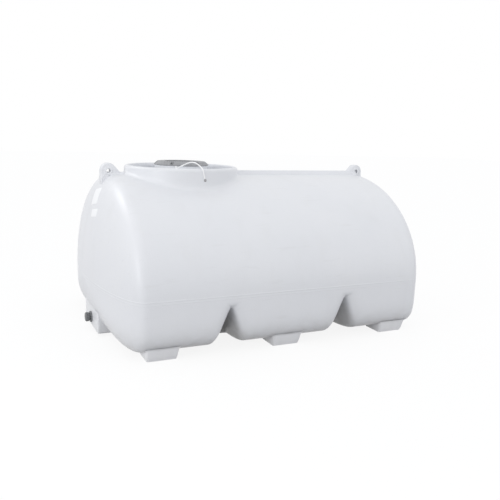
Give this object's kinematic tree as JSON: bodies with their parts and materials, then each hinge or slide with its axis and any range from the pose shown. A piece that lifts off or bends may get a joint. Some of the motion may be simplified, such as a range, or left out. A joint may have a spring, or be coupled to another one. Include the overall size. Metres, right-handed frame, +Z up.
{
  "type": "horizontal liquid fertilizer tank",
  "caption": "Low oval moulded tank on feet, with side notches, a screwed lid in a round collar, a low end outlet and lifting eyes.",
  "frame": {"origin": "on the floor, under the middle of the tank's length and width", "axes": "+X along the tank from the outlet end to the plain end, +Z up"},
  "size_m": [2.81, 2.06, 1.4019],
  "materials": {
    "shell": "white moulded polyethylene, soft sheen",
    "foot": "white moulded polyethylene, cut faces",
    "lid": "dark grey moulded plastic",
    "gasket": "black rubber",
    "fitting": "black glass-filled plastic",
    "cord": "white plastic cord",
    "screw": "dark plated steel"
  },
  "bodies": {
    "tank": {"barrel_upper": "shell", "lobe_front": "shell", "lobe_middle": "shell", "lobe_rear": "shell", "end_front": "shell", "end_rear": "shell", "seam_rib": "shell", "collar": "shell", "collar_fillet": "shell", "well_floor": "shell", "manway_neck": "shell", "neck_gasket": "gasket", "ridge_front": "shell", "ridge_rear": "shell", "lifting_eye_front": "shell", "lifting_eye_rear": "shell", "foot_front_left": "foot", "foot_front_right": "foot", "foot_middle_left": "foot", "foot_middle_right": "foot", "foot_rear_left": "foot", "foot_rear_right": "foot", "outlet_boss": "shell", "outlet_flange": "fitting", "outlet_spigot": "fitting", "outlet_cap": "fitting", "tether": "cord", "tether_screw": "screw"},
    "lid": {"lid_ring": "lid", "lid_cover": "lid", "lid_eye": "lid"}
  },
  "joints": [
    {"name": "lid_lift", "type": "slide", "parent": "tank", "child": "lid", "axis": [0, 0, 1], "range_m": [0, 0.15]}
  ]
}
